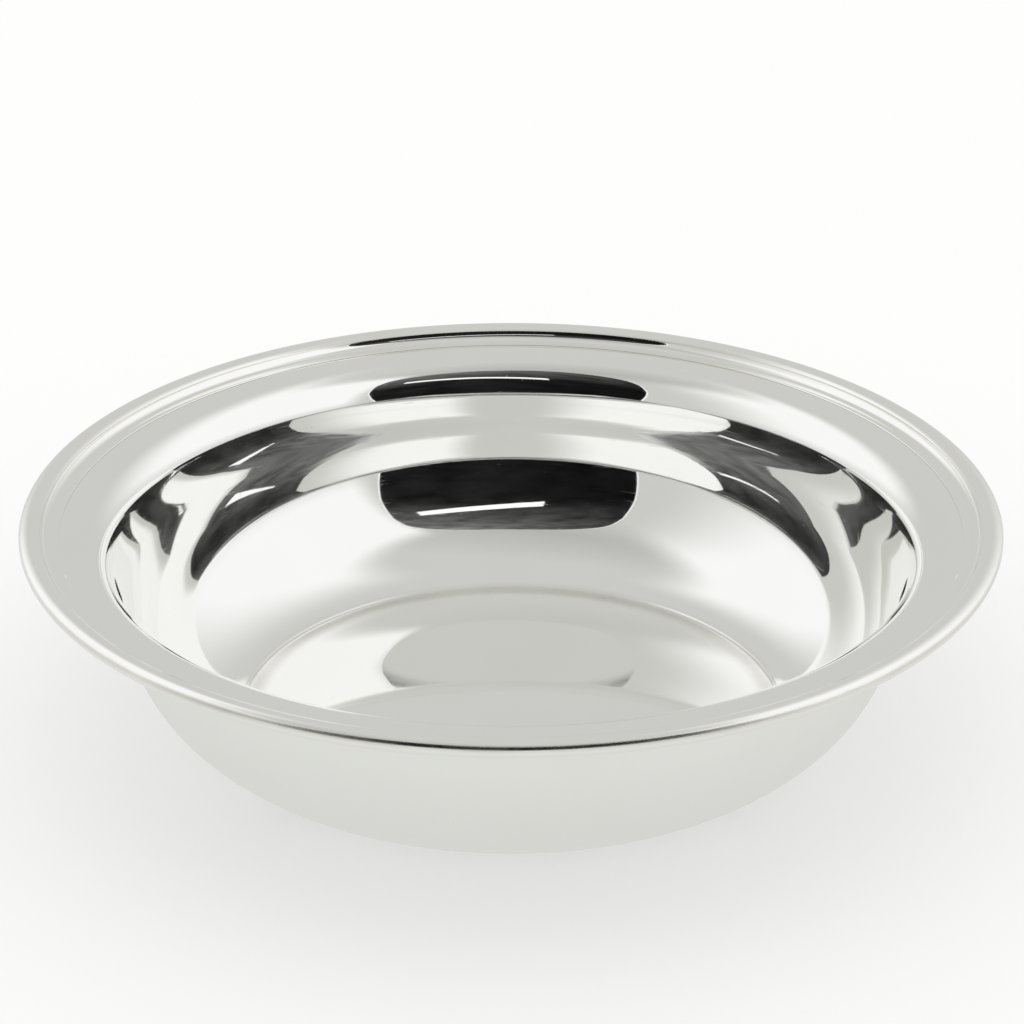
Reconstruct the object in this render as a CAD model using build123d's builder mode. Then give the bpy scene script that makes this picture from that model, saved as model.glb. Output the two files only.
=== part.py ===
import math
import os

from build123d import *

# Offering bowl: a round shell spun from one sheet, with a moulded ring soldered over its edge.
# It stands on its base at z = 0, and the Z axis is its axis. All sizes are in millimetres and degrees.

# Overall sizes
rim_diameter = 305.0  # over the rounded edge of the ring
overall_height = 72.0  # from the table to the top of the ring

# Shell, whose bends are measured on its upper face
sheet_thickness = 1.2
flange_width = 3.2  # flat of the flange that shows, from the lip of the ring to the shoulder
shoulder_radius = 13.6  # bend from the flange to the wall
shoulder_slope = 76.6  # fall of the wall where the shoulder ends
upper_wall_radius = 101.0  # gentle bend on to the steepest line of the wall
wall_slope = 83.0  # steepest fall of the wall, about half way down
well_slope = 74.0  # fall of the wall where the well begins
well_radius = 46.6  # bend from the wall towards the foot
foot_slope = 15.5  # fall that is left where the well meets the step of the foot
step_slope = 48.0  # steepest fall of the step
step_crest_radius = 1.6
step_root_radius = 0.8

# Rim ring
ring_rise = 4.3  # top of the ring above the flange
nose_radius = 1.4  # tight bend at the outer edge, above its widest line
crown_radius = 5.0  # rounded top of the band
crown_slope = 30.0  # fall of the band where it meets the nose
corner_drop = 1.3  # inner corner below the top of the ring
cove_slope = 78.0  # steepest fall of the cove, at the inner corner
lip_width = 2.25  # thin lip that lies on the flange, from the cove to its end
lip_thickness = 0.25
lip_slope = 35.0  # fall of the lip's end, which is feathered down to the flange
edge_cover = 4.5  # from the rounded edge to the sheared edge of the sheet, hidden inside the ring
solder_film = 0.05  # gap between the ring and the sheet


def bend_drop(radius, one_slope, other_slope):
    """Height between the two ends of a bend, from the slopes at its ends."""
    return radius * abs(math.cos(math.radians(one_slope)) - math.cos(math.radians(other_slope)))


# Radii and levels that follow
rim_radius = rim_diameter / 2
edge_radius = rim_radius - edge_cover
flange_level = overall_height - ring_rise
floor_level = sheet_thickness

# The lower wall takes up the depth that the other bends leave
lower_wall_drop = flange_level - floor_level
lower_wall_drop -= bend_drop(shoulder_radius, 0, shoulder_slope)
lower_wall_drop -= bend_drop(upper_wall_radius, shoulder_slope, wall_slope)
lower_wall_drop -= bend_drop(well_radius, well_slope, foot_slope)
lower_wall_drop -= bend_drop(step_crest_radius, foot_slope, step_slope)
lower_wall_drop -= bend_drop(step_root_radius, step_slope, 0)
lower_wall_radius = lower_wall_drop / bend_drop(1, wall_slope, well_slope)

# The ring's edge: the crowned band falls to a tight nose, which is widest near the top,
# and a rounder bend leads from there to the underside of the sheet
nose_level = overall_height - bend_drop(crown_radius, 0, crown_slope)
nose_level -= nose_radius * math.cos(math.radians(crown_slope))
nose_centre_radius = rim_radius - nose_radius
underside_level = flange_level - sheet_thickness
under_radius = nose_level - underside_level
seat_level = flange_level + solder_film
rabbet_radius = edge_radius + solder_film
crown_centre_radius = nose_centre_radius - (crown_radius - nose_radius) * math.sin(math.radians(crown_slope))
corner_slope = math.degrees(math.acos(1 - corner_drop / crown_radius))
corner_radius = crown_centre_radius - crown_radius * math.sin(math.radians(corner_slope))
corner_level = overall_height - corner_drop
lip_level = seat_level + lip_thickness

# The cove rises from the lip to the inner corner, and the flange starts to bend beyond the lip
cove_radius = (corner_level - lip_level) / (1 - math.cos(math.radians(cove_slope)))
cove_foot_radius = corner_radius - cove_radius * math.sin(math.radians(cove_slope))
lip_foot_radius = cove_foot_radius - lip_width
lip_crest_radius = lip_foot_radius + lip_thickness / math.tan(math.radians(lip_slope))
flange_inner_radius = lip_foot_radius - flange_width

os.makedirs("parts", exist_ok=True)

# Bowl shell: its upper face is one run of lines and tangent arcs from the edge to the axis,
# and the sheet lies under it at one thickness. The wall steepens to its middle and eases off again
with BuildPart() as bowl_shell:
    with BuildSketch(Plane.XZ):
        with BuildLine():
            flange = Line((edge_radius, flange_level), (flange_inner_radius, flange_level))
            shoulder = JernArc(flange @ 1, flange % 1, shoulder_radius, shoulder_slope)
            upper_wall = JernArc(shoulder @ 1, shoulder % 1, upper_wall_radius, wall_slope - shoulder_slope)
            lower_wall = JernArc(upper_wall @ 1, upper_wall % 1, lower_wall_radius, well_slope - wall_slope)
            well = JernArc(lower_wall @ 1, lower_wall % 1, well_radius, foot_slope - well_slope)
            crest = JernArc(well @ 1, well % 1, step_crest_radius, step_slope - foot_slope)
            root = JernArc(crest @ 1, crest % 1, step_root_radius, -step_slope)
            Line(root @ 1, (0, floor_level))
            offset(amount=sheet_thickness, side=Side.LEFT)
        make_face()
    revolve(axis=Axis.Z)
bowl_shell.part.label = "bowl_shell"
export_step(bowl_shell.part, "parts/bowl_shell.step")

# Rim ring: a moulding with a crowned band, a tight nose, a cove and a thin lip with a feathered end,
# stepped underneath so that the sheet's edge sits inside it, flush with its underside
with BuildPart() as rim_ring:
    with BuildSketch(Plane.XZ):
        with BuildLine():
            nose = CenterArc((nose_centre_radius, nose_level), nose_radius, 0, 90 - crown_slope)
            under = JernArc(nose @ 0, (0, -1), under_radius, -90)
            underside = Line(under @ 1, (rabbet_radius, underside_level))
            rabbet = Line(underside @ 1, (rabbet_radius, seat_level))
            seat = Line(rabbet @ 1, (lip_foot_radius, seat_level))
            lip_end = Line(seat @ 1, (lip_crest_radius, lip_level))
            lip = Line(lip_end @ 1, (cove_foot_radius, lip_level))
            cove = JernArc(lip @ 1, lip % 1, cove_radius, cove_slope)
            crown = TangentArc(nose @ 1, cove @ 1, tangent=nose % 1)
        make_face()
    revolve(axis=Axis.Z)
rim_ring.part.label = "rim_ring"
export_step(rim_ring.part, "parts/rim_ring.step")

print("lower wall radius", round(lower_wall_radius, 2), "cove radius", round(cove_radius, 2))
print("shoulder starts at", round(flange_inner_radius, 2), "lip ends at", round(lip_foot_radius, 2))
print("inner corner at", round(corner_radius, 2), "nose level", round(nose_level, 2), "crown radius", round(crown.radius, 3))
print("base radius", round((root @ 1).X, 2), "well foot", well @ 1)
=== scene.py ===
# %% [markdown]
# # A mirror-polished offering bowl
# The bowl is spun from one round sheet and has a moulded ring soldered over its edge. The solids fix
# where everything is, so this lesson starts by loading them, and then dresses them: smooth spun surfaces,
# a silver finish, and a small photographic tent, because a mirror looks like whatever stands round it.

# %% Load the frame
import math

import bmesh
import bpy
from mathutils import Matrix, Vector


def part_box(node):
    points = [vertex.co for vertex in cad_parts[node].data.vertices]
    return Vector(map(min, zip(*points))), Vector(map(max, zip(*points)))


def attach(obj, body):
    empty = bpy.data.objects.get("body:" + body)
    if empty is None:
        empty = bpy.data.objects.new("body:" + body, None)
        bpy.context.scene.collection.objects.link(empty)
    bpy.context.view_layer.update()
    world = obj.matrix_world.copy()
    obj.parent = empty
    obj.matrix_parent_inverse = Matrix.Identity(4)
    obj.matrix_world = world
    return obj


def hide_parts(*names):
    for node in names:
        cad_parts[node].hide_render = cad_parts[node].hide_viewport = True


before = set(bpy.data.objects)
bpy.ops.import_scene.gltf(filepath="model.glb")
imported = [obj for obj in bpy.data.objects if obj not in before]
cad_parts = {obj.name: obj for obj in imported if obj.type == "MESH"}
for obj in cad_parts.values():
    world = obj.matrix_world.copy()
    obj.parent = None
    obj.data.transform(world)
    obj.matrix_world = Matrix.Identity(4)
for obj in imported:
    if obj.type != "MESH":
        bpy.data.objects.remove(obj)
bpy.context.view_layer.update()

MM = 0.001

# %% [markdown]
# ## Two helpers for materials
# Colours are written as sRGB hex values, as a colour picker gives them, but shaders work in linear light.
# One function turns the first into the second, and one adds a node with its settings and its links.

# %% Colour and node helpers
def linear(hex_colour):
    """Linear RGBA of a colour written as six sRGB hex digits."""
    levels = [int(hex_colour[i:i + 2], 16) / 255 for i in (1, 3, 5)]
    return [v / 12.92 if v <= 0.04045 else ((v + 0.055) / 1.055) ** 2.4 for v in levels] + [1.0]


def add_node(tree, kind, inputs=None, **settings):
    """A new node: settings are its properties, and inputs are values or the output sockets that feed it."""
    node = tree.nodes.new(kind)
    for name, value in settings.items():
        setattr(node, name, value)
    for name, value in (inputs or {}).items():
        if isinstance(value, bpy.types.NodeSocket):
            tree.links.new(value, node.inputs[name])
        else:
            node.inputs[name].default_value = value
    return node


print("mid grey in linear light:", [round(v, 3) for v in linear("#808080")])

# %% [markdown]
# ## Patterns that run round the bowl
# A spun bowl is polished while it turns, so its finest marks run round its axis. Their noise reads the
# distance from the axis closely and the direction round the axis only coarsely. The direction enters as a
# point on a circle and not as an angle, so the pattern has no seam where the angle starts again.

# %% Marks of the buffing wheel
def radius_level_turn(tree):
    """Distance from the bowl's axis, level above its base, and direction from the axis."""
    place = add_node(tree, "ShaderNodeTexCoord").outputs["Object"]
    flat = add_node(tree, "ShaderNodeVectorMath", {0: place, 1: (1, 1, 0)}, operation="MULTIPLY").outputs[0]
    radius = add_node(tree, "ShaderNodeVectorMath", {0: flat}, operation="LENGTH").outputs["Value"]
    level = add_node(tree, "ShaderNodeSeparateXYZ", {0: place}).outputs["Z"]
    turn = add_node(tree, "ShaderNodeVectorMath", {0: flat}, operation="NORMALIZE").outputs[0]
    return radius, level, turn


def round_the_axis(tree, across_mm, round_share):
    """Coordinates that change every across_mm of radius or height, but slowly along the turning."""
    radius, level, turn = radius_level_turn(tree)
    along = add_node(tree, "ShaderNodeMath", {0: radius, 1: level}, operation="ADD").outputs[0]
    across = add_node(tree, "ShaderNodeMath", {0: along, 1: across_mm * MM}, operation="DIVIDE").outputs[0]
    slow = add_node(tree, "ShaderNodeVectorMath", {0: turn, "Scale": round_share}, operation="SCALE")
    height = add_node(tree, "ShaderNodeCombineXYZ", {"Z": across})
    return add_node(tree, "ShaderNodeVectorMath", {0: slow.outputs[0], 1: height.outputs[0]},
                    operation="ADD").outputs[0]


print("marks change across the turning direction and hardly along it")

# %% [markdown]
# Dirt stays in the corners that a buffing wheel can't reach, and hands and cloths wear the plate on crisp
# edges. On a round piece both make circles, so a mask needs only the radius and the level of its circle.

# %% Mask along a circle
def along_circle(tree, radius_mm, level_mm, width_mm):
    """1 on a circle round the axis, falling to 0 at width_mm from it."""
    radius, level, _ = radius_level_turn(tree)
    section = add_node(tree, "ShaderNodeCombineXYZ", {"X": radius, "Z": level}).outputs[0]
    circle = (radius_mm * MM, 0, level_mm * MM)
    away = add_node(tree, "ShaderNodeVectorMath", {0: section, 1: circle}, operation="DISTANCE")
    return add_node(tree, "ShaderNodeMapRange",
                    {"Value": away.outputs["Value"], "From Max": width_mm * MM,
                     "To Min": 1.0, "To Max": 0.0}, interpolation_type="SMOOTHSTEP").outputs[0]


print("masks follow circles round the axis")

# %% [markdown]
# ## Silver plate, buffed on a wheel
# The plate is nearly a perfect mirror. What tells the eye that it is metal, and not a computed mirror, is
# small: hair-fine marks round the bowl, soft patches where the polish is a little duller, short hairlines
# from wiping, and specks where the plate has pitted. The colour hardly changes: it only turns duller in
# the patches and takes another tone along the worn lines.

# %% Colour of the plate
def plate_colour(tree, patches, bright, dull, worn_lines):
    """Colour of the plate, and what each worn line adds to its roughness."""
    tint = add_node(tree, "ShaderNodeMix", {0: patches, 6: linear(bright), 7: linear(dull)},
                    data_type="RGBA")
    colour = tint.outputs[2]
    dull_lines = []
    for radius_mm, level_mm, width_mm, worn_colour, dulling in worn_lines:
        line = along_circle(tree, radius_mm, level_mm, width_mm)
        worn = add_node(tree, "ShaderNodeMath", {0: line, 1: patches}, operation="MULTIPLY").outputs[0]
        mixed = add_node(tree, "ShaderNodeMix", {0: worn, 6: colour, 7: linear(worn_colour)},
                         data_type="RGBA")
        colour = mixed.outputs[2]
        duller = add_node(tree, "ShaderNodeMath", {0: worn, 1: dulling}, operation="MULTIPLY")
        dull_lines.append(duller.outputs[0])
    return colour, dull_lines


print("colour follows the patches and the worn lines")

# %% [markdown]
# Most of the finish is in the roughness, so it shows as faint grey veils in the dark reflections and
# vanishes in the bright ones. Each kind of mark adds its share, and the underside, which gets less
# buffing, stays a little duller.

# %% Roughness of the plate
HAZE = 0.03  # the most that the soft patches add
HAZE_RANGE = (0.1, 0.5)  # of the two noises that are multiplied
HAIRLINE_MM = 0.4  # real hairlines are finer, but would not show
HAIRLINE_ROUND = 16.0  # the larger, the shorter are the hairlines
HAIRLINE_CRESTS = (0.72, 0.80)  # only the crests of the noise become hairlines
HAIRLINE_DULLING = 0.10
SPECK_MM = 9.0  # spacing of the cells that may hold one speck
SPECK_SHARE = (0.035, 0.02)  # of a cell, where the speck begins and where it is full
SPECK_DULLING = 0.25
UNDERSIDE_TILT = -0.05  # upward part of the facing from which a face is all underside
UNDERSIDE_DULLING = 0.05


def plate_roughness(tree, place, patches, marks, mirror_roughness, dull_lines):
    """Roughness of the plate: haze, hairlines, specks, the duller underside and the worn lines."""
    veil = add_node(tree, "ShaderNodeMath", {0: patches, 1: marks}, operation="MULTIPLY").outputs[0]
    haze = add_node(tree, "ShaderNodeMapRange",
                    {"Value": veil, "From Min": HAZE_RANGE[0], "From Max": HAZE_RANGE[1],
                     "To Min": mirror_roughness, "To Max": mirror_roughness + HAZE})
    strokes = round_the_axis(tree, HAIRLINE_MM, HAIRLINE_ROUND)
    wiped = add_node(tree, "ShaderNodeTexNoise", {"Vector": strokes, "Scale": 1.0, "Detail": 0.0})
    hairlines = add_node(tree, "ShaderNodeMapRange",
                         {"Value": wiped.outputs["Fac"], "From Min": HAIRLINE_CRESTS[0],
                          "From Max": HAIRLINE_CRESTS[1], "To Max": HAIRLINE_DULLING})
    cells = add_node(tree, "ShaderNodeTexVoronoi", {"Vector": place, "Scale": 1 / (SPECK_MM * MM)})
    specks = add_node(tree, "ShaderNodeMapRange",
                      {"Value": cells.outputs["Distance"], "From Min": SPECK_SHARE[0],
                       "From Max": SPECK_SHARE[1], "To Max": SPECK_DULLING})
    facing = add_node(tree, "ShaderNodeNewGeometry").outputs["Normal"]
    upward = add_node(tree, "ShaderNodeSeparateXYZ", {0: facing}).outputs["Z"]
    underside = add_node(tree, "ShaderNodeMapRange",
                         {"Value": upward, "From Min": 0.0, "From Max": UNDERSIDE_TILT,
                          "To Max": UNDERSIDE_DULLING})
    total = haze.outputs[0]
    for extra in [hairlines.outputs[0], specks.outputs[0], underside.outputs[0]] + dull_lines:
        total = add_node(tree, "ShaderNodeMath", {0: total, 1: extra}, operation="ADD").outputs[0]
    return total


print("hairlines are drawn", HAIRLINE_MM, "mm wide")

# %% [markdown]
# Both pieces carry the same plate, but they were polished on different tools: the sheet on a broad wheel
# and the ring on a narrow one, which leaves finer marks. Tarnish stays in the root of the shell's foot.
# On the ring, the inner corner is rubbed to a warmer tone and the outer edge is scuffed.

# %% Silver finish
PATCH_MM = 38.0  # soft patches of duller polish, about a thumb's width
MARK_ROUND = 4.0  # the larger, the shorter are the marks of the wheel
MARK_STRENGTH = 0.02
MARK_DEPTH_MM = 0.02
BRIGHT_SILVER = "#FDFDFC"
DULL_SILVER = "#F9F9F7"


def buffed_silver_plate(name, mark_mm, mirror_roughness, worn_lines):
    """Buffed silver plate: a clear mirror under faint marks, hairlines, specks and worn lines."""
    material = bpy.data.materials.new(name)
    material.use_nodes = True
    tree = material.node_tree
    shader = tree.nodes["Principled BSDF"]
    shader.inputs["Metallic"].default_value = 1.0
    place = add_node(tree, "ShaderNodeTexCoord").outputs["Object"]
    patches = add_node(tree, "ShaderNodeTexNoise",
                       {"Vector": place, "Scale": 1 / (PATCH_MM * MM), "Detail": 3.0}).outputs["Fac"]
    strokes = round_the_axis(tree, mark_mm, MARK_ROUND)
    marks = add_node(tree, "ShaderNodeTexNoise",
                     {"Vector": strokes, "Scale": 1.0, "Detail": 4.0}).outputs["Fac"]
    colour, dull_lines = plate_colour(tree, patches, BRIGHT_SILVER, DULL_SILVER, worn_lines)
    tree.links.new(colour, shader.inputs["Base Color"])
    roughness = plate_roughness(tree, place, patches, marks, mirror_roughness, dull_lines)
    tree.links.new(roughness, shader.inputs["Roughness"])
    bump = add_node(tree, "ShaderNodeBump",
                    {"Height": marks, "Strength": MARK_STRENGTH, "Distance": MARK_DEPTH_MM * MM})
    tree.links.new(bump.outputs[0], shader.inputs["Normal"])
    return material


# Each worn line: radius, level and width in mm, colour, and what it adds to the roughness
FOOT_TARNISH = (83.6, 1.25, 5.0, "#CDCAC2", 0.12)
CORNER_WEAR = (145.9, 70.6, 0.45, "#E6D9BE", 0.2)
NOSE_SCUFF = (152.3, 70.4, 1.6, "#F4F1EA", 0.75)
shell_silver = buffed_silver_plate("buffed_silver_plate_on_spun_sheet", 0.7, 0.015, [FOOT_TARNISH])
ring_silver = buffed_silver_plate("buffed_silver_plate_on_drawn_moulding", 0.4, 0.02,
                                  [CORNER_WEAR, NOSE_SCUFF])
print("finishes:", shell_silver.name, ring_silver.name)

# %% [markdown]
# ## A pen that draws profiles
# Spinners and turners cut a profile as straight runs and bends that flow into one another. The pen below
# does the same: it keeps a place and a heading, and each bend starts in the direction where the last run
# ended. Extra points close to the ends of every run keep the flats flat, because a mirror shows even a
# tiny error.

# %% Profile pen
BEND_STEP = 2.0  # degrees between the points of a bend
RUN_GUARD = 0.15  # mm from the end of a run to its last extra point


def sine(degrees):
    return math.sin(math.radians(degrees))


def cosine(degrees):
    return math.cos(math.radians(degrees))


class ProfilePen:
    def __init__(self, radius, level, heading):
        self.radius, self.level, self.heading = radius, level, heading
        self.points = [(radius, level, heading)]

    def straight(self, length):
        guard = min(RUN_GUARD, length / 8)
        for share in (guard / length, 0.25, 0.5, 0.75, 1 - guard / length, 1.0):
            self.points.append((self.radius + length * share * cosine(self.heading),
                                self.level + length * share * sine(self.heading), self.heading))
        self.radius, self.level, _ = self.points[-1]

    def line_to(self, radius, level):
        self.heading = math.degrees(math.atan2(level - self.level, radius - self.radius)) % 360
        self.points.append((self.radius, self.level, self.heading))
        self.straight(math.hypot(radius - self.radius, level - self.level))

    def bend(self, bend_radius, turn):
        side = math.copysign(90, turn)
        centre_r = self.radius + bend_radius * cosine(self.heading + side)
        centre_z = self.level + bend_radius * sine(self.heading + side)
        steps = max(4, math.ceil(abs(turn) / BEND_STEP))
        for i in range(1, steps + 1):
            heading = self.heading + turn * i / steps
            self.points.append((centre_r - bend_radius * cosine(heading + side),
                                centre_z - bend_radius * sine(heading + side), heading))
        self.radius, self.level, self.heading = self.points[-1]

    def outline(self):
        return [(r, z) for r, z, _ in self.points]

    def left_of(self, distance):
        """The same profile, moved to the left of its heading, as the other face of a sheet is."""
        return [(r + distance * cosine(h + 90), z + distance * sine(h + 90)) for r, z, h in self.points]


print("pen ready, with a point every", BEND_STEP, "degrees of a bend")

# %% [markdown]
# ## Profile of the sheet
# From the edge inwards the sheet runs flat under the ring, bends down over the shoulder, steepens to the
# middle of the wall, eases off again, sweeps round the well and steps down into the flat foot. Its other
# face lies one thickness below. The wall could be drawn straight, but a mirror gives it away: only this
# gentle swell sends the dark front of the tent round the well in the long tapering shapes that polished
# bowls show.

# %% Sizes of the sheet
shell_low, shell_high = [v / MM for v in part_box("bowl_shell")]
ring_low, ring_high = [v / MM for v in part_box("rim_ring")]
sheet_thickness = shell_high.z - ring_low.z
flange_level = shell_high.z
edge_radius = shell_high.x
rim_radius = ring_high.x

shoulder_start = 137.15
shoulder_radius = 13.6
shoulder_slope = 76.6
upper_wall_radius = 101.0
wall_slope = 83.0
well_slope = 74.0
well_radius = 46.6
foot_slope = 15.5
step_slope = 30.0  # the step falls as far as in the solids, but buffing has rounded it
step_crest_radius = 3.2
step_root_radius = 3.2
print("sheet thickness", round(sheet_thickness, 3), "edge radius", round(edge_radius, 2))

# %% [markdown]
# The lower wall takes up the depth that the other bends leave, as in the solids, so its radius is worked
# out and not written down. The pen then draws the upper face, and the lower face follows it.

# %% Draw the sheet
def bend_drop(radius, one_slope, other_slope):
    """Height between the two ends of a bend, from the slopes at its ends."""
    return radius * abs(cosine(one_slope) - cosine(other_slope))


depth = flange_level - shell_low.z - sheet_thickness
lower_wall_drop = depth - (bend_drop(shoulder_radius, 0, shoulder_slope)
                           + bend_drop(upper_wall_radius, shoulder_slope, wall_slope)
                           + bend_drop(well_radius, well_slope, foot_slope)
                           + bend_drop(step_crest_radius, foot_slope, step_slope)
                           + bend_drop(step_root_radius, step_slope, 0))
lower_wall_radius = lower_wall_drop / bend_drop(1, wall_slope, well_slope)

sheet = ProfilePen(edge_radius, flange_level, 180)
sheet.straight(edge_radius - shoulder_start)
sheet.bend(shoulder_radius, shoulder_slope)
sheet.bend(upper_wall_radius, wall_slope - shoulder_slope)
sheet.bend(lower_wall_radius, well_slope - wall_slope)
sheet.bend(well_radius, foot_slope - well_slope)
sheet.bend(step_crest_radius, step_slope - foot_slope)
sheet.bend(step_root_radius, -step_slope)
foot_radius = sheet.radius
sheet.straight(foot_radius)
shell_outline = sheet.outline()[::-1] + sheet.left_of(sheet_thickness)
print("foot radius", round(foot_radius, 2), "floor level", round(sheet.level, 3))
print("points in the outline of the shell:", len(shell_outline))

# %% [markdown]
# ## Profile of the ring
# The moulding has a crowned band that falls to a tight nose, a hollow cove on its inner side and a thin
# lip that is feathered down to the flange. A rounder bend leads from the nose to the underside, which is
# stepped, so that the sheet's edge sits in it. Buffing has rounded the crisp corners a little, and that
# small round is what catches a line of light along the corner.

# %% Sizes of the ring
nose_radius = 1.4
crown_radius = 5.0
crown_slope = 30.0
corner_drop = 1.3
cove_slope = 78.0
lip_width = 2.25
lip_thickness = 0.25
lip_slope = 35.0
solder_film = 0.05
corner_round = 0.3  # what buffing leaves of the inner corner
lip_round = 0.3

top_level = ring_high.z
underside_level = ring_low.z
nose_level = top_level - bend_drop(crown_radius, 0, crown_slope) - nose_radius * cosine(crown_slope)
under_radius = nose_level - underside_level
crown_centre = rim_radius - nose_radius - (crown_radius - nose_radius) * sine(crown_slope)
corner_slope = math.degrees(math.acos(1 - corner_drop / crown_radius))
corner_radius = crown_centre - crown_radius * sine(corner_slope)
seat_level = flange_level + solder_film
lip_level = seat_level + lip_thickness
cove_radius = (top_level - corner_drop - lip_level) / (1 - cosine(cove_slope))
lip_foot = corner_radius - cove_radius * sine(cove_slope) - lip_width
print("inner corner at", round(corner_radius, 2), "lip foot at", round(lip_foot, 2))

# %% [markdown]
# The small rounds shorten the runs beside them. How much each run loses follows from the angle between
# them, so the corners stay where the solids have them.

# %% Draw the ring
corner_cut = corner_round * math.tan(math.radians(cove_slope - corner_slope) / 2)
crown_turn = corner_slope - math.degrees(corner_cut / crown_radius)
cove_turn = cove_slope - math.degrees(corner_cut / cove_radius)
lip_flat = lip_width - lip_thickness / math.tan(math.radians(lip_slope))
lip_cut = lip_round * math.tan(math.radians(lip_slope) / 2)

moulding = ProfilePen(rim_radius - under_radius, underside_level, 0)
moulding.bend(under_radius, 90)
moulding.bend(nose_radius, 90 - crown_slope)
moulding.bend(crown_radius, crown_slope + crown_turn)
moulding.bend(corner_round, cove_turn - crown_turn)
moulding.bend(cove_radius, -cove_turn)
moulding.straight(lip_flat - lip_cut)
moulding.bend(lip_round, lip_slope)
moulding.line_to(lip_foot, seat_level)
moulding.line_to(edge_radius + solder_film, seat_level)
moulding.line_to(edge_radius + solder_film, underside_level)
moulding.line_to(rim_radius - under_radius, underside_level)
ring_outline = moulding.outline()[:-1]
print("ring: cove radius", round(cove_radius, 2), "points", len(ring_outline))

# %% [markdown]
# ## Spinning the profiles
# A lathe turns a profile into a round piece, and so does one Geometry Nodes tree: it sweeps the profile
# along a circle, closes the poles and keeps edges sharp only where the profile has a real corner. The CAD
# meshes would do for size, but their loose triangles show as facets in a mirror, so both pieces are spun
# again here.

# %% Spinning tree
def spinning_tree():
    tree = bpy.data.node_groups.new("spin_profile_on_lathe", "GeometryNodeTree")
    for name, kind in (("Profile", "NodeSocketObject"), ("Rail Radius", "NodeSocketFloat"),
                       ("Segments", "NodeSocketInt"), ("Corner Angle", "NodeSocketFloat"),
                       ("Weld", "NodeSocketFloat"), ("Finish", "NodeSocketMaterial")):
        tree.interface.new_socket(name, in_out="INPUT", socket_type=kind)
    tree.interface.new_socket("Geometry", in_out="OUTPUT", socket_type="NodeSocketGeometry")
    given = add_node(tree, "NodeGroupInput").outputs
    profile = add_node(tree, "GeometryNodeObjectInfo", {"Object": given["Profile"]})
    rail = add_node(tree, "GeometryNodeCurvePrimitiveCircle",
                    {"Resolution": given["Segments"], "Radius": given["Rail Radius"]})
    spun = add_node(tree, "GeometryNodeCurveToMesh",
                    {"Curve": rail.outputs["Curve"], "Profile Curve": profile.outputs["Geometry"]})
    welded = add_node(tree, "GeometryNodeMergeByDistance",
                      {"Geometry": spun.outputs[0], "Distance": given["Weld"]})
    angle = add_node(tree, "GeometryNodeInputMeshEdgeAngle").outputs["Unsigned Angle"]
    gentle = add_node(tree, "FunctionNodeCompare", {0: angle, 1: given["Corner Angle"]},
                      operation="LESS_THAN")
    smooth = add_node(tree, "GeometryNodeSetShadeSmooth",
                      {"Geometry": welded.outputs[0], "Shade Smooth": gentle.outputs[0]}, domain="EDGE")
    whole = add_node(tree, "GeometryNodeRealizeInstances", {"Geometry": smooth.outputs[0]})
    coated = add_node(tree, "GeometryNodeSetMaterial",
                      {"Geometry": whole.outputs[0], "Material": given["Finish"]})
    add_node(tree, "NodeGroupOutput", {"Geometry": coated.outputs[0]})
    return tree


lathe = spinning_tree()
print("lathe inputs:", [item.name for item in lathe.interface.items_tree if item.in_out == "INPUT"])

# %% [markdown]
# The tree reads the profile from a curve object. Its points are measured from the rail that the lathe
# sweeps them along, with the level turned round, because a swept profile hangs below its rail.

# %% Profile curve
RAIL_RADIUS = 100.0


def profile_curve(name, outline, closed):
    curve = bpy.data.curves.new(name, "CURVE")
    curve.dimensions = "3D"
    spline = curve.splines.new("POLY")
    spline.points.add(len(outline) - 1)
    for point, (radius, level) in zip(spline.points, outline):
        point.co = ((radius - RAIL_RADIUS) * MM, -level * MM, 0, 1)
    spline.use_cyclic_u = closed
    made = bpy.data.objects.new(name, curve)
    bpy.context.collection.objects.link(made)
    return made


print("profiles are measured from a rail of radius", RAIL_RADIUS, "mm")

# %% [markdown]
# The result of the tree is copied to a plain mesh with its faces pointing outwards, and the curve and the
# modifier go, so that only the piece is left. Its open edges are counted, because a spun piece has none.

# %% Spin the two pieces
SEGMENTS = 360  # steps round the axis
CORNER_ANGLE = math.radians(25)  # an edge that bends more stays sharp
WELD = 0.002  # mm


def spin(name, outline, closed, finish):
    profile = profile_curve(name + "_profile", outline, closed)
    piece = bpy.data.objects.new(name, bpy.data.meshes.new(name))
    bpy.context.collection.objects.link(piece)
    modifier = piece.modifiers.new("lathe", "NODES")
    modifier.node_group = lathe
    sizes = {"Profile": profile, "Rail Radius": RAIL_RADIUS * MM, "Segments": SEGMENTS,
             "Corner Angle": CORNER_ANGLE, "Weld": WELD * MM, "Finish": finish}
    for item in lathe.interface.items_tree:
        if item.in_out == "INPUT":
            modifier[item.identifier] = sizes[item.name]
    spun = piece.evaluated_get(bpy.context.evaluated_depsgraph_get())
    piece.data = bpy.data.meshes.new_from_object(spun)
    piece.modifiers.clear()
    bpy.data.objects.remove(profile)
    shape = bmesh.new()
    shape.from_mesh(piece.data)
    bmesh.ops.recalc_face_normals(shape, faces=shape.faces)
    loose = sum(1 for edge in shape.edges if not edge.is_manifold)
    volume = shape.calc_volume(signed=True) / MM ** 3
    shape.to_mesh(piece.data)
    shape.free()
    print(name, "faces", len(piece.data.polygons), "open edges", loose, "volume mm3", round(volume))
    return piece


shell = spin("bowl_shell_spun", shell_outline, False, shell_silver)
ring = spin("rim_ring_moulded", ring_outline, True, ring_silver)
for piece, node in ((shell, "bowl_shell"), (ring, "rim_ring")):
    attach(piece, "root")
    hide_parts(node)

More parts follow.
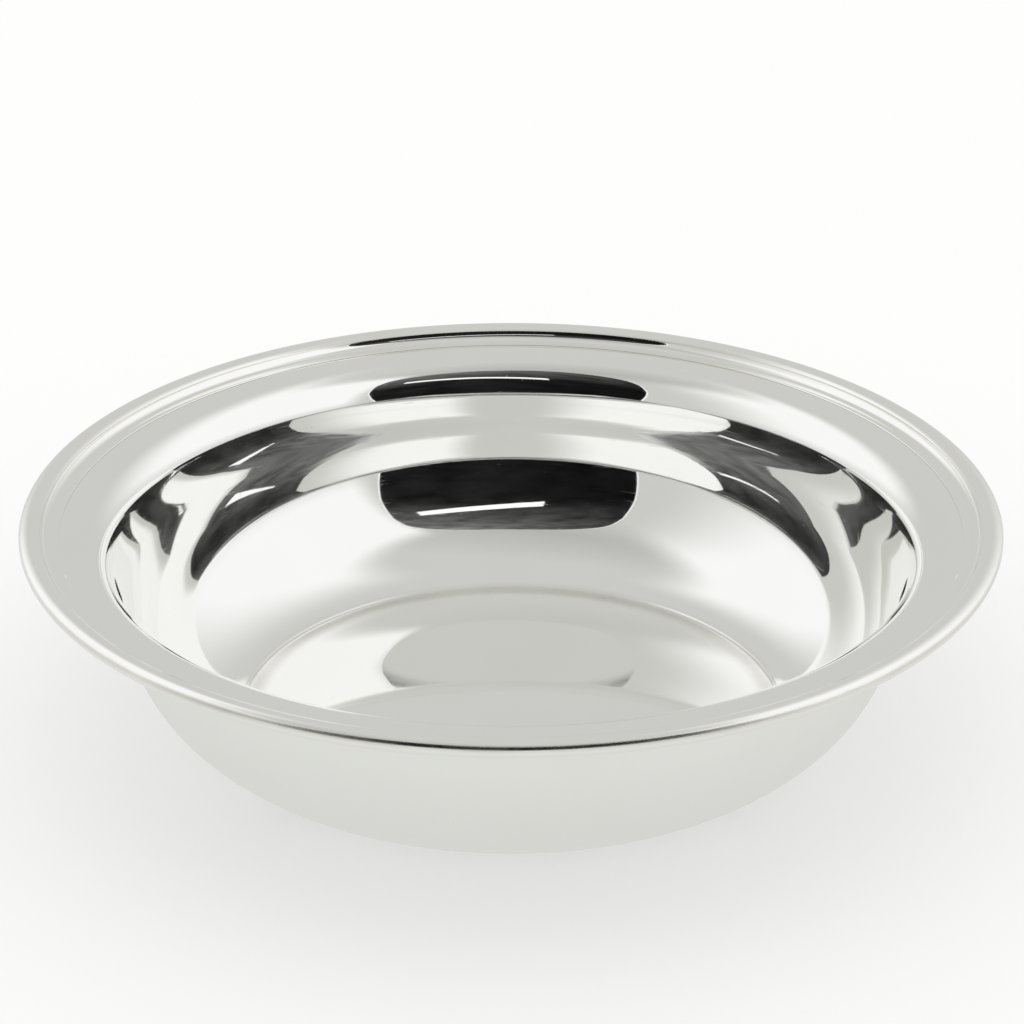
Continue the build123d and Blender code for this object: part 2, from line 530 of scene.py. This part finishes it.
# %% [markdown]
# ## Floor and daylight
# The floor is a plain white sheet of paper and the sky is an even white, so the bowl stands in soft light
# with a soft shadow. Half of the paper's white reaches the camera straight, which keeps the shadow pale.
# The metal mirrors the paper through a glow with painted shade: a little greyer, as paper in the shade of a
# tent is, and with a painted shadow of the bowl, darkest under it: that pale grey is what the outside of
# the bowl shows.

# %% White paper
TENT_TINT = (0.99, 1.0, 0.955, 1.0)  # white cloth and paper in the tent look faintly warm
# PAPER_NEAR and PAPER_FAR set a painted shadow: the paper that the metal mirrors is darkest near the bowl
PAPER_NEAR = (0.09, 0.68)  # metres from the axis, and how bright the metal mirrors the paper there
PAPER_FAR = (0.22, 0.785)
PAPER_SEEN = 0.5  # share of plain white in what the camera sees of the paper

paper = bpy.data.materials.new("matt_white_paper")
paper.use_nodes = True
paper_tree = paper.node_tree
paper_shader = paper_tree.nodes["Principled BSDF"]
paper_shader.inputs["Base Color"].default_value = linear("#FDFDFC")
paper_shader.inputs["Roughness"].default_value = 0.9
paper_shader.inputs["Specular IOR Level"].default_value = 0.0
paper_place = add_node(paper_tree, "ShaderNodeTexCoord").outputs["Object"]
paper_radius = add_node(paper_tree, "ShaderNodeVectorMath", {0: paper_place}, operation="LENGTH")
# painted shadow of the bowl, in the glow that only mirrored rays see
paper_painted_shadow = add_node(paper_tree, "ShaderNodeMapRange",
                      {"Value": paper_radius.outputs["Value"], "From Min": PAPER_NEAR[0],
                       "From Max": PAPER_FAR[0], "To Min": PAPER_NEAR[1], "To Max": PAPER_FAR[1]})
paper_mirrored_with_painted_shade = add_node(paper_tree, "ShaderNodeEmission",
                          {"Color": TENT_TINT, "Strength": paper_painted_shadow.outputs[0]})
paper_white = add_node(paper_tree, "ShaderNodeEmission", {"Strength": 1.0})
paper_path = add_node(paper_tree, "ShaderNodeLightPath").outputs
half_seen = add_node(paper_tree, "ShaderNodeMath", {0: paper_path["Is Camera Ray"], 1: PAPER_SEEN},
                     operation="MULTIPLY")
paper_seen = add_node(paper_tree, "ShaderNodeMixShader",
                      {0: half_seen.outputs[0], 1: paper_shader.outputs[0], 2: paper_white.outputs[0]})
paper_mix = add_node(paper_tree, "ShaderNodeMixShader",
                     {0: paper_path["Is Glossy Ray"], 1: paper_seen.outputs[0],
                      2: paper_mirrored_with_painted_shade.outputs[0]})
paper_tree.links.new(paper_mix.outputs[0], paper_tree.nodes["Material Output"].inputs["Surface"])
print("paper is mirrored at", PAPER_NEAR[1], "near the bowl and at", PAPER_FAR[1], "further out")

# %% [markdown]
# The sheet of paper is far larger than the picture, so its edges stay out of sight. The sky needs no shape
# of its own, because the metal sees the tent in front of it.

# %% Floor and sky
FLOOR_HALF = 3.0
floor = bpy.data.objects.new("floor", bpy.data.meshes.new("floor"))
floor.data.from_pydata([(-FLOOR_HALF, -FLOOR_HALF, 0), (FLOOR_HALF, -FLOOR_HALF, 0),
                        (FLOOR_HALF, FLOOR_HALF, 0), (-FLOOR_HALF, FLOOR_HALF, 0)], [], [(0, 1, 2, 3)])
floor.data.materials.append(paper)
bpy.context.collection.objects.link(floor)

world = bpy.data.worlds.new("even_white")
bpy.context.scene.world = world
world.use_nodes = True
world.node_tree.nodes["Background"].inputs["Color"].default_value = (1, 1, 1, 1)
world.node_tree.nodes["Background"].inputs["Strength"].default_value = 1.0
bpy.context.scene.view_settings.view_transform = "Standard"
print("floor reaches", FLOOR_HALF, "m each way")

# %% [markdown]
# ## Cards that only the metal sees
# Polished metal is photographed among cards and cloths that never come into the picture. Here they only
# glow, and only mirrored rays see them, so they colour the metal and leave the floor and its shadow
# alone.

# %% Stage cards and their glow
WHITE = (1, 1, 1, 1)


def stage_card(name, corners, faces, material):
    made = bpy.data.objects.new(name, bpy.data.meshes.new(name))
    made.data.from_pydata(corners, [], faces)
    made.data.materials.append(material)
    bpy.context.collection.objects.link(made)
    made.visible_camera = False
    made.visible_diffuse = False
    made.visible_shadow = False
    made.visible_transmission = False
    return made


def glowing(name, colour, strength):
    """A material that only glows, its tree and its light."""
    material = bpy.data.materials.new(name)
    material.use_nodes = True
    material.cycles.emission_sampling = "NONE"
    tree = material.node_tree
    tree.nodes.remove(tree.nodes["Principled BSDF"])
    light = add_node(tree, "ShaderNodeEmission", {"Color": colour, "Strength": strength})
    tree.links.new(light.outputs[0], tree.nodes["Material Output"].inputs["Surface"])
    return material, tree, light


def clear_elsewhere(tree, light, shows):
    """Let a card be clear wherever shows is 0."""
    clear = add_node(tree, "ShaderNodeBsdfTransparent")
    lit = add_node(tree, "ShaderNodeMixShader", {0: shows, 1: clear.outputs[0], 2: light.outputs[0]})
    tree.links.new(lit.outputs[0], tree.nodes["Material Output"].inputs["Surface"])


print("cards are hidden from the camera, from soft light and from shadows")

# %% [markdown]
# ## The cloth of the tent
# The tent is a dome of white cloth. Two lamps stand behind it, one at each side, and make two broad soft
# patches. Each patch is a product of soft edges in its bearing, where 0 is the front and the right is
# positive, and in its height. Low down, where the cloth meets the table, the patches fade.

# %% Two patches of lamplight
# Each patch: bearings where it ends and where it is full, from the front to the back, and its fade overhead
LAMP_PATCHES = (
    (-50, -103, -137, -162, 54, 67),
    (44, 54, 122, 168, 61, 72),
)
LOW_CLOTH = (6, 21)  # degrees of elevation
LOW_SHARE = 0.45

cloth, cloth_tree, cloth_light = glowing("lit_tent_cloth", TENT_TINT, 1.0)
cloth_place = add_node(cloth_tree, "ShaderNodeTexCoord").outputs["Object"]
toward = add_node(cloth_tree, "ShaderNodeVectorMath", {0: cloth_place}, operation="NORMALIZE").outputs[0]
cloth_split = add_node(cloth_tree, "ShaderNodeSeparateXYZ", {0: toward}).outputs
ahead = add_node(cloth_tree, "ShaderNodeMath", {0: cloth_split["Y"], 1: -1.0},
                 operation="MULTIPLY").outputs[0]
bearing = add_node(cloth_tree, "ShaderNodeMath", {0: cloth_split["X"], 1: ahead},
                   operation="ARCTAN2").outputs[0]
lamp_shares = []
for front_none, front_full, back_full, back_none, top_full, top_none in LAMP_PATCHES:
    patch = add_node(cloth_tree, "ShaderNodeMapRange",
                     {"Value": cloth_split["Z"], "From Min": sine(top_none), "From Max": sine(top_full)},
                     interpolation_type="SMOOTHSTEP")
    for none, full in ((front_none, front_full), (back_none, back_full)):
        side = add_node(cloth_tree, "ShaderNodeMapRange",
                        {"Value": bearing, "From Min": math.radians(none), "From Max": math.radians(full)},
                        interpolation_type="SMOOTHSTEP")
        patch = add_node(cloth_tree, "ShaderNodeMath", {0: patch.outputs[0], 1: side.outputs[0]},
                         operation="MULTIPLY")
    lamp_shares.append(patch.outputs[0])
either = add_node(cloth_tree, "ShaderNodeMath", {0: lamp_shares[0], 1: lamp_shares[1]}, operation="MAXIMUM")
low_fade = add_node(cloth_tree, "ShaderNodeMapRange",
                    {"Value": cloth_split["Z"], "From Min": sine(LOW_CLOTH[0]),
                     "From Max": sine(LOW_CLOTH[1]), "To Min": LOW_SHARE, "To Max": 1.0},
                    interpolation_type="SMOOTHSTEP")
lamplight = add_node(cloth_tree, "ShaderNodeMath", {0: either.outputs[0], 1: low_fade.outputs[0]},
                     operation="MULTIPLY").outputs[0]
print("lamp patches:", len(lamp_shares))

# %% [markdown]
# Between the patches, at the back and overhead, the cloth stays pale grey. Least light falls on the roof
# over the front left, and light that the metal has mirrored more than once shows that dim roof only
# faintly.

# %% Dim roof
CLOTH_GREY = 0.615
ROOF_DIM = 0.14
ROOF_DIM_BEARING = -25
ROOF_DIM_REACH = (-0.15, 0.3)  # share of the way towards that bearing
ROOF_EDGE = (53, 72)  # degrees of elevation
ROOF_DIM_LATER = 0.3  # what is left of it in later mirrorings

overhead = add_node(cloth_tree, "ShaderNodeMapRange",
                    {"Value": cloth_split["Z"], "From Min": sine(ROOF_EDGE[0]),
                     "From Max": sine(ROOF_EDGE[1])})
front_left = (sine(ROOF_DIM_BEARING), -cosine(ROOF_DIM_BEARING), 0)
leaning = add_node(cloth_tree, "ShaderNodeVectorMath", {0: toward, 1: front_left}, operation="DOT_PRODUCT")
forward = add_node(cloth_tree, "ShaderNodeMapRange",
                   {"Value": leaning.outputs["Value"], "From Min": ROOF_DIM_REACH[0],
                    "From Max": ROOF_DIM_REACH[1], "To Max": ROOF_DIM})
cloth_depth = add_node(cloth_tree, "ShaderNodeLightPath").outputs["Glossy Depth"]
fainter = add_node(cloth_tree, "ShaderNodeMapRange",
                   {"Value": cloth_depth, "From Min": 1.0, "From Max": 2.0,
                    "To Min": 1.0, "To Max": ROOF_DIM_LATER})
roof = add_node(cloth_tree, "ShaderNodeMath", {0: overhead.outputs[0], 1: fainter.outputs[0]},
                operation="MULTIPLY")
dim = add_node(cloth_tree, "ShaderNodeMath", {0: roof.outputs[0], 1: forward.outputs[0]},
               operation="MULTIPLY")
unlit = add_node(cloth_tree, "ShaderNodeMath", {0: CLOTH_GREY, 1: dim.outputs[0]}, operation="SUBTRACT")
print("unlit cloth glows at", CLOTH_GREY, "and the dimmest roof at", round(CLOTH_GREY - ROOF_DIM, 3))

# %% [markdown]
# The dome is a ball round the bowl. It is wide, so that the patches look the same from every part of the
# metal, and lamplight is the whiter the more of it falls on the cloth.

# %% Cloth dome
DOME_RADIUS = 1.35
CLOTH_WHITE = 0.97

cloth_glow = add_node(cloth_tree, "ShaderNodeMapRange",
                      {"Value": lamplight, "To Min": unlit.outputs[0], "To Max": CLOTH_WHITE})
cloth_tree.links.new(cloth_glow.outputs[0], cloth_light.inputs["Strength"])
cloth_tone = add_node(cloth_tree, "ShaderNodeMix", {0: lamplight, 6: TENT_TINT, 7: WHITE}, data_type="RGBA")
cloth_tree.links.new(cloth_tone.outputs[2], cloth_light.inputs["Color"])

ball = bmesh.new()
bmesh.ops.create_icosphere(ball, subdivisions=5, radius=DOME_RADIUS)
dome = stage_card("tent_cloth", [v.co.copy() for v in ball.verts],
                  [[v.index for v in f.verts] for f in ball.faces], cloth)
ball.free()
print("cloth dome faces", len(dome.data.polygons))

# %% [markdown]
# ## The open front
# The camera looks in through an opening in the tent, so the metal facing it mirrors a dark room. The
# opening flares upwards and has two rounded upper corners. A plain rectangle would do for a box of a
# bowl, but the steep wall bends its sides, and only flared ones come back as the upright sides that
# polished wells show.

# %% Outline of the opening
FRONT = -0.382  # metres: the plane of the opening
OPENING_LEFT = ((-0.335, 0.03), (-0.402, 0.42), (-0.44, 0.75))
OPENING_RIGHT = ((0.355, 0.03), (0.43, 0.42), (0.47, 0.75))
OPENING_TOP = 1.22
CORNER = 0.3  # radius of the upper corners
CORNER_STEP = 10  # degrees


def opening_outline(grow):
    """Corners of the opening, widened by grow."""
    left = [(x - grow, z) for x, z in OPENING_LEFT]
    right = [(x + grow, z) for x, z in OPENING_RIGHT]
    corners = left[:1] + right
    level = OPENING_TOP + grow - CORNER
    for side, start in ((right[-1][0] - CORNER, 0), (left[-1][0] + CORNER, 90)):
        for turn in range(start, start + 91, CORNER_STEP):
            corners.append((side + CORNER * cosine(turn), level + CORNER * sine(turn)))
    return corners + left[:0:-1]


print("opening is", OPENING_TOP, "m high, in the plane y =", FRONT)

# %% [markdown]
# The room is almost black below and turns to a dim grey towards its ceiling, more on the right. Blurred
# shapes of what stands in it keep the reflections from looking like flat ink. The wall mirrors the room
# once in the middle of the bowl and twice at its sides, and the second image is the paler one, so there
# are two ramps.

# %% Glow of the dark room
# Each stop: metres above the floor, and the glow there
FIRST_GLOW = ((0.05, 0.012), (0.40, 0.012), (0.50, 0.02), (0.62, 0.06), (0.76, 0.08), (0.92, 0.12),
              (1.25, 0.17))
LATER_GLOW = ((0.05, 0.03), (0.22, 0.035), (0.32, 0.065), (0.42, 0.10), (0.52, 0.13), (0.66, 0.16),
              (0.85, 0.24), (1.00, 0.50), (1.20, 0.61))
ROOM_LEFT = (-0.3, 0.5)  # metres to the side, and the share of the first glow there
ROOM_RIGHT = (0.2, 1.1)
ROOM_THINGS = 0.12  # metres: size of the blurred shapes
THINGS_RANGE = (0.3, 0.7)
THINGS_SHARE = (0.55, 1.45)

room, room_tree, room_light = glowing("dark_room", TENT_TINT, 1.0)
room_place = add_node(room_tree, "ShaderNodeTexCoord").outputs["Object"]
room_split = add_node(room_tree, "ShaderNodeSeparateXYZ", {0: room_place}).outputs
things = add_node(room_tree, "ShaderNodeTexNoise",
                  {"Vector": room_place, "Scale": 1 / ROOM_THINGS, "Detail": 3.0}).outputs["Fac"]
uneven = add_node(room_tree, "ShaderNodeMapRange",
                  {"Value": things, "From Min": THINGS_RANGE[0], "From Max": THINGS_RANGE[1],
                   "To Min": THINGS_SHARE[0], "To Max": THINGS_SHARE[1]}).outputs[0]
room_glows = []
for stops in (FIRST_GLOW, LATER_GLOW):
    up = add_node(room_tree, "ShaderNodeMath", {0: room_split["Z"], 1: stops[-1][0]}, operation="DIVIDE")
    ramp = add_node(room_tree, "ShaderNodeValToRGB", {0: up.outputs[0]})
    elements = ramp.color_ramp.elements
    while len(elements) < len(stops):
        elements.new(0.5)
    for element, (height, glow) in zip(elements, stops):
        element.position = height / stops[-1][0]
        element.color = (glow, glow, glow, 1)
    shaped = add_node(room_tree, "ShaderNodeVectorMath", {0: ramp.outputs["Color"], "Scale": uneven},
                      operation="SCALE")
    room_glows.append(shaped.outputs[0])
side_share = add_node(room_tree, "ShaderNodeMapRange",
                      {"Value": room_split["X"], "From Min": ROOM_LEFT[0], "From Max": ROOM_RIGHT[0],
                       "To Min": ROOM_LEFT[1], "To Max": ROOM_RIGHT[1]})
first_seen = add_node(room_tree, "ShaderNodeVectorMath", {0: room_glows[0], "Scale": side_share.outputs[0]},
                      operation="SCALE")
print("ramps:", len(room_glows), "with", len(FIRST_GLOW), "and", len(LATER_GLOW), "stops")

# %% [markdown]
# The flat floor of the bowl mirrors the back wall, and through it the room. Soft, even cloth looks right
# there, so such rays get the grey of the cloth. They are known by where they left the wall: the length of
# a ray and the place where it meets the opening tell how far back it started.

# %% Rays that come from the back wall
BACK_WALL = (0.488, 0.502)  # metres from the foot of the opening: where the back wall begins and surely is
WALL_LEVEL = 0.054  # metres: about where such rays leave the wall
SIDEWAYS = (1.117, 0.0, 1.0)  # a ray that goes to one side also starts a little to the other

room_path = add_node(room_tree, "ShaderNodeLightPath").outputs
met = add_node(room_tree, "ShaderNodeVectorMath", {0: room_place, 1: SIDEWAYS},
               operation="MULTIPLY").outputs[0]
met_square = add_node(room_tree, "ShaderNodeVectorMath", {0: met, 1: met}, operation="DOT_PRODUCT")
ray_square = add_node(room_tree, "ShaderNodeMath", {0: room_path["Ray Length"], 1: 2.0}, operation="POWER")
rest = add_node(room_tree, "ShaderNodeMath", {0: ray_square.outputs[0], 1: met_square.outputs["Value"]},
                operation="SUBTRACT")
start_square = add_node(room_tree, "ShaderNodeMath",
                        {0: room_split["Z"], 1: 2 * WALL_LEVEL, 2: rest.outputs[0]},
                        operation="MULTIPLY_ADD")
from_back = add_node(room_tree, "ShaderNodeMapRange",
                     {"Value": start_square.outputs[0], "From Min": BACK_WALL[0] ** 2,
                      "From Max": BACK_WALL[1] ** 2}, interpolation_type="SMOOTHSTEP")
like_cloth = [CLOTH_GREY * part for part in TENT_TINT[:3]] + [1.0]
later_seen = add_node(room_tree, "ShaderNodeMix",
                      {0: from_back.outputs[0], 6: room_glows[1], 7: like_cloth}, data_type="RGBA")
print("back wall begins", BACK_WALL[0], "m from the foot of the opening")

# %% [markdown]
# One flat card fills the opening and shows the room. How often the light has been mirrored decides which of
# the two glows it shows. The room could be modelled, but the bowl shows little of it but light and dark.

# %% Dark room
SECOND_MIRRORING = 1.5  # the count of mirrorings is above this from the second on

again = add_node(room_tree, "ShaderNodeMath", {0: room_path["Glossy Depth"], 1: SECOND_MIRRORING},
                 operation="GREATER_THAN")
room_seen = add_node(room_tree, "ShaderNodeMix",
                     {0: again.outputs[0], 6: first_seen.outputs[0], 7: later_seen.outputs[2]},
                     data_type="RGBA")
room_tree.links.new(room_seen.outputs[2], room_light.inputs["Color"])
room_face = [(x, FRONT, z) for x, z in opening_outline(0)]
stage_card("dark_room", room_face, [tuple(range(len(room_face)))], room)
print("room corners", len(room_face))

# %% [markdown]
# A bright hem runs round the opening, and one strip lamp hangs in the room. Both give the dark
# reflections their crisp light lines. The lamp is drawn twice, lower for light that has been mirrored
# again, so that its second image falls into the tapering shapes and not on the floor of the bowl.

# %% Hem and strip lamp
HEM = 0.008  # metres
CARD_GAP = 0.001  # metres between the cards, so that each lies clear of the next
LAMP_GLOW = 1.05
STRIP_LAMP = ((-0.098, 0.487), (0.328, 0.625), (0.328, 0.70), (-0.098, 0.555))
STRIP_LAMP_AGAIN = ((-0.10, 0.345), (0.30, 0.43), (0.30, 0.475), (-0.10, 0.36))


def shown_once(name, strength, later):
    """A glow that shows in the first mirroring only, or in the later ones only."""
    glow, tree, light = glowing(name, WHITE, strength)
    times = add_node(tree, "ShaderNodeLightPath").outputs["Glossy Depth"]
    shows = add_node(tree, "ShaderNodeMath", {0: times, 1: SECOND_MIRRORING},
                     operation="GREATER_THAN" if later else "LESS_THAN")
    clear_elsewhere(tree, light, shows.outputs[0])
    return glow


hem_face = [(x, FRONT - CARD_GAP, z) for x, z in opening_outline(HEM)]
bright_hem = shown_once("bright_hem", CLOTH_WHITE, False)
stage_card("opening_hem", hem_face, [tuple(range(len(hem_face)))], bright_hem)
for name, corners, later in (("strip_lamp", STRIP_LAMP, False),
                             ("strip_lamp_mirrored_again", STRIP_LAMP_AGAIN, True)):
    lamp_face = [(x, FRONT + CARD_GAP, z) for x, z in corners]
    stage_card(name, lamp_face, [(0, 1, 2, 3)], shown_once(name, LAMP_GLOW, later))
print("hem is", HEM, "m wide")

# %% [markdown]
# ## Where the wall mirrors itself
# At both ends of the well the steep wall mirrors itself again and again. Light that comes out of there is
# as pale as the cloth, but a path that is followed through four mirrorings only ends in black. A thin
# lining just inside the wall catches those few paths: it glows for light that is about to be mirrored a
# fifth time, and is clear to the rest.

# %% Shape of the lining
LINING_GAP = 0.5  # mm from the wall
LINING_TURNS = 180  # steps round the axis

lining_profile = [(r, z) for r, z in sheet.left_of(-LINING_GAP) if foot_radius < r < shoulder_start]
rows = len(lining_profile)
lining_places = []
lining_faces = []
for step in range(LINING_TURNS):
    turn = 360 * step / LINING_TURNS
    lining_places += [(r * MM * cosine(turn), r * MM * sine(turn), z * MM) for r, z in lining_profile]
    here = step * rows
    there = (step + 1) % LINING_TURNS * rows
    lining_faces += [(here + i, there + i, there + i + 1, here + i + 1) for i in range(rows - 1)]
print("lining faces", len(lining_faces))

# %% [markdown]
# The lining glows only towards light that arrives from the well. Light that is leaving the wall passes it
# from behind, and has to go on as if there were no lining.

# %% Glow of the lining
LINING_GLOW = 0.9
FIFTH_MIRRORING = 3.5  # the count of mirrorings is above this when the next one would be the fifth

deep, deep_tree, deep_light = glowing("pale_light_of_many_mirrorings", WHITE, LINING_GLOW)
deep_times = add_node(deep_tree, "ShaderNodeLightPath").outputs["Glossy Depth"]
last = add_node(deep_tree, "ShaderNodeMath", {0: deep_times, 1: FIFTH_MIRRORING}, operation="GREATER_THAN")
leaving = add_node(deep_tree, "ShaderNodeNewGeometry").outputs["Backfacing"]
arriving = add_node(deep_tree, "ShaderNodeMath", {0: 1.0, 1: leaving}, operation="SUBTRACT")
deep_shows = add_node(deep_tree, "ShaderNodeMath", {0: last.outputs[0], 1: arriving.outputs[0]},
                      operation="MULTIPLY")
clear_elsewhere(deep_tree, deep_light, deep_shows.outputs[0])
stage_card("well_lining", lining_places, lining_faces, deep)
print("lining glows at", LINING_GLOW)

# %% [markdown]
# ## Camera
# The camera stands in front of the bowl with a long lens, a little above it, so that the far wall of the
# well shows over the near rim.

# %% Camera
camera = bpy.data.objects.new("camera", bpy.data.cameras.new("camera"))
bpy.context.collection.objects.link(camera)
bpy.context.scene.camera = camera
camera.location = (0, -1.0091, 0.5496)
aim = Vector((0.0003, 0.0004, 0.0700))
camera.rotation_euler = (aim - camera.location).to_track_quat("-Z", "Y").to_euler()
camera.data.lens = 125.9
camera.data.sensor_width = 36.0
camera.data.clip_end = 20.0
print("camera distance", round((aim - camera.location).length, 3))
